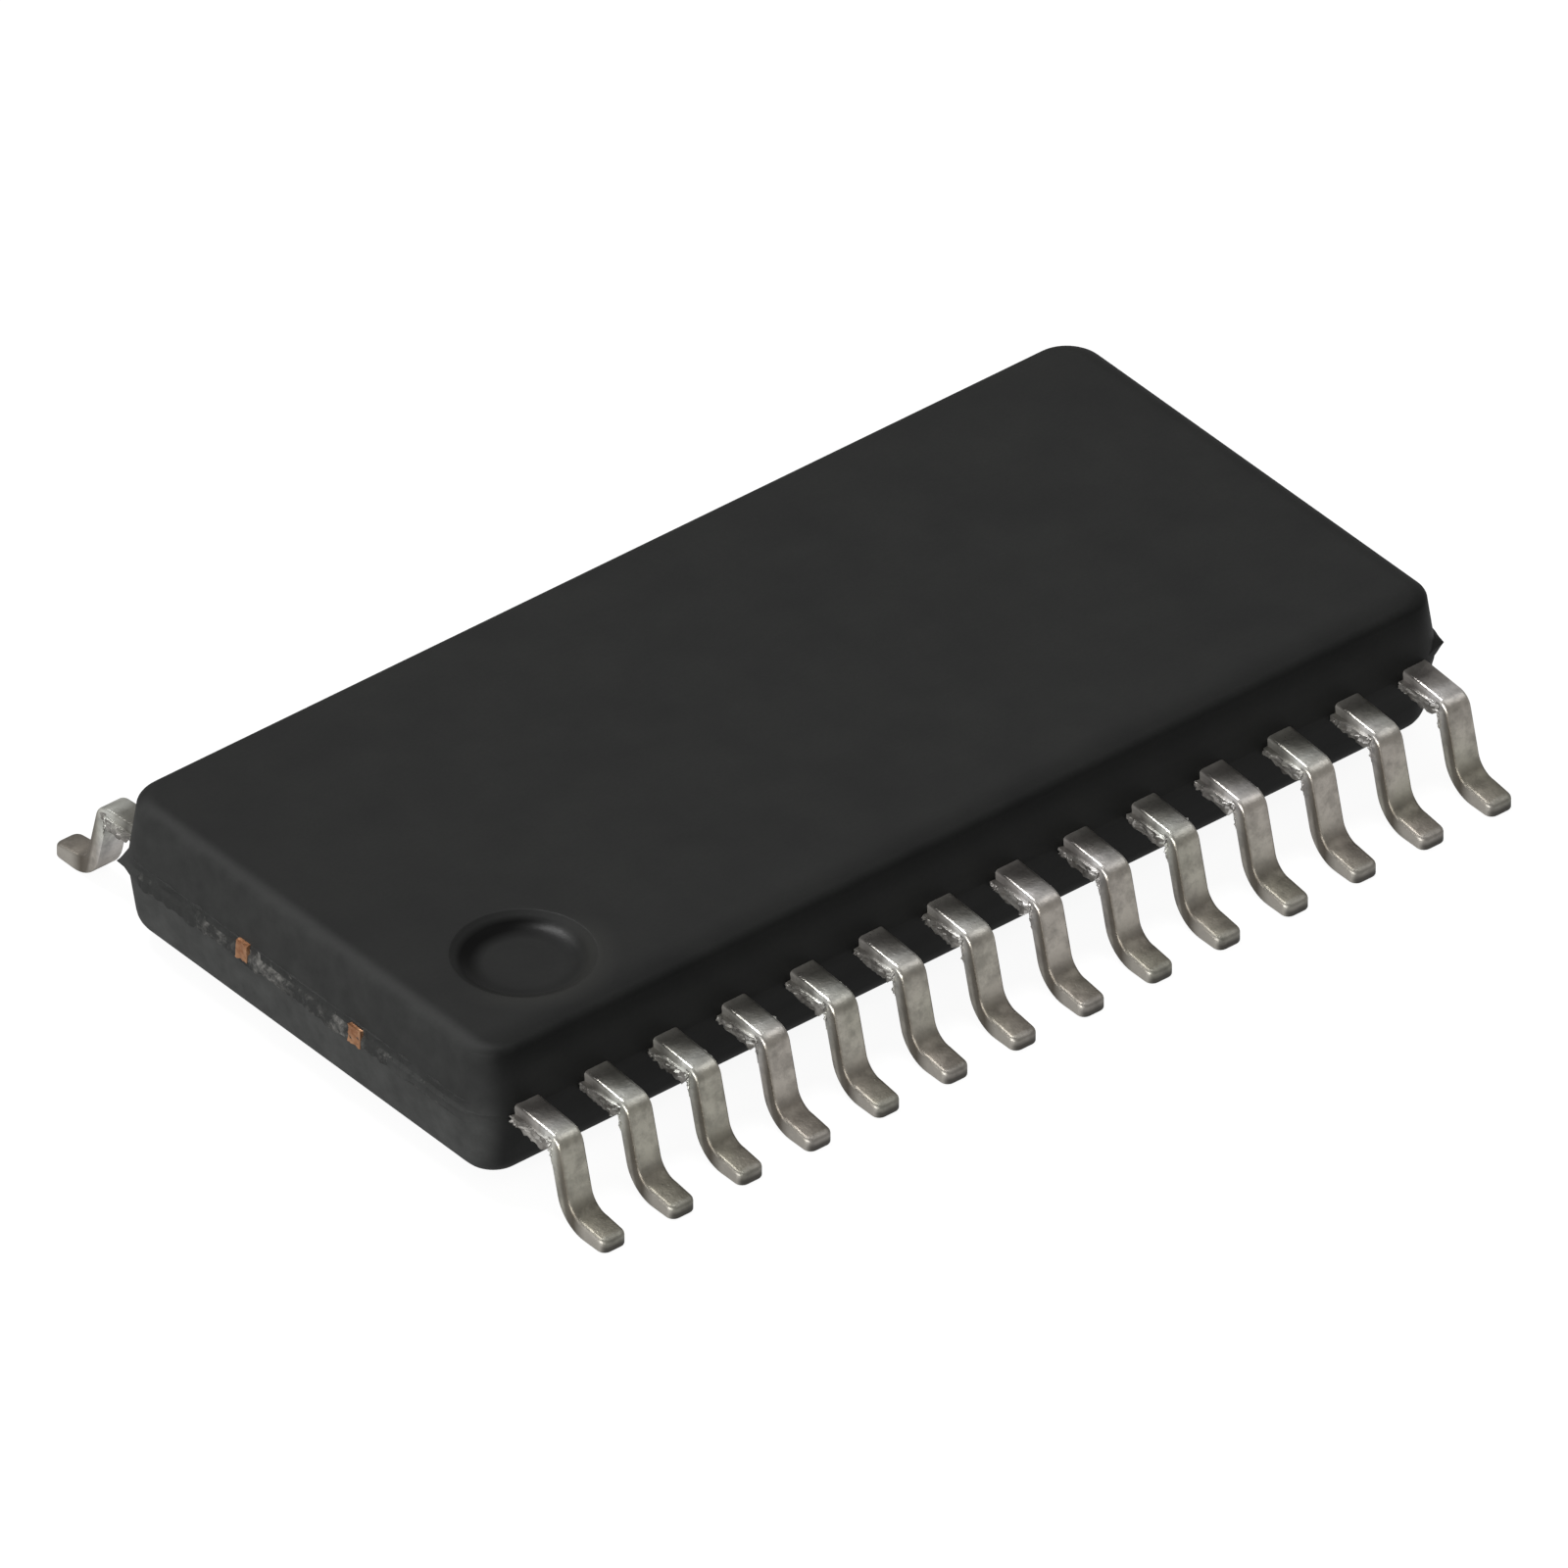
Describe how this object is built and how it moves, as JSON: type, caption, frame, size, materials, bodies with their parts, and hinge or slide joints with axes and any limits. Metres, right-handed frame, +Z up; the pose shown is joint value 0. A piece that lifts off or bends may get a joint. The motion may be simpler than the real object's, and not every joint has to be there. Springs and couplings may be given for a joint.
{
  "type": "wide-body small-outline integrated circuit",
  "caption": "Surface-mount chip: a black moulded body with a round pin-one dimple and a row of gull-wing leads along each long side, soldered flat to a board.",
  "frame": {"origin": "middle of the footprint, on the seating plane that the flat soles of the leads lie in", "axes": "+X along the body, away from the pin-one end; +Y across the body, away from the side of lead 1; +Z up"},
  "size_m": [0.0182, 0.0126, 0.0024],
  "materials": {
    "epoxy": "black moulding compound, spark-eroded satin matt, pale frayed flash along the parting line",
    "copper": "bare copper alloy, seen only at the cut ends of the tie bars",
    "die_film": "cured silver-filled epoxy, hidden",
    "silicon": "polished silicon, hidden",
    "tin": "dull electroplated tin over copper alloy, with bright rubbed streaks",
    "gold": "drawn gold, hidden"
  },
  "bodies": {
    "root": {"mould_body": "epoxy", "die_pad": "copper", "die_attach": "die_film", "silicon_die": "silicon", "lead_1": "tin", "lead_2": "tin", "lead_3": "tin", "lead_4": "tin", "lead_5": "tin", "lead_6": "tin", "lead_7": "tin", "lead_8": "tin", "lead_9": "tin", "lead_10": "tin", "lead_11": "tin", "lead_12": "tin", "lead_13": "tin", "lead_14": "tin", "lead_15": "tin", "lead_16": "tin", "lead_17": "tin", "lead_18": "tin", "lead_19": "tin", "lead_20": "tin", "lead_21": "tin", "lead_22": "tin", "lead_23": "tin", "lead_24": "tin", "lead_25": "tin", "lead_26": "tin", "lead_27": "tin", "lead_28": "tin", "bond_wire_1": "gold", "bond_wire_2": "gold", "bond_wire_3": "gold", "bond_wire_4": "gold", "bond_wire_5": "gold", "bond_wire_6": "gold", "bond_wire_7": "gold", "bond_wire_8": "gold", "bond_wire_9": "gold", "bond_wire_10": "gold", "bond_wire_11": "gold", "bond_wire_12": "gold", "bond_wire_13": "gold", "bond_wire_14": "gold", "bond_wire_15": "gold", "bond_wire_16": "gold", "bond_wire_17": "gold", "bond_wire_18": "gold", "bond_wire_19": "gold", "bond_wire_20": "gold", "bond_wire_21": "gold", "bond_wire_22": "gold", "bond_wire_23": "gold", "bond_wire_24": "gold", "bond_wire_25": "gold", "bond_wire_26": "gold", "bond_wire_27": "gold", "bond_wire_28": "gold"}
  },
  "joints": []
}
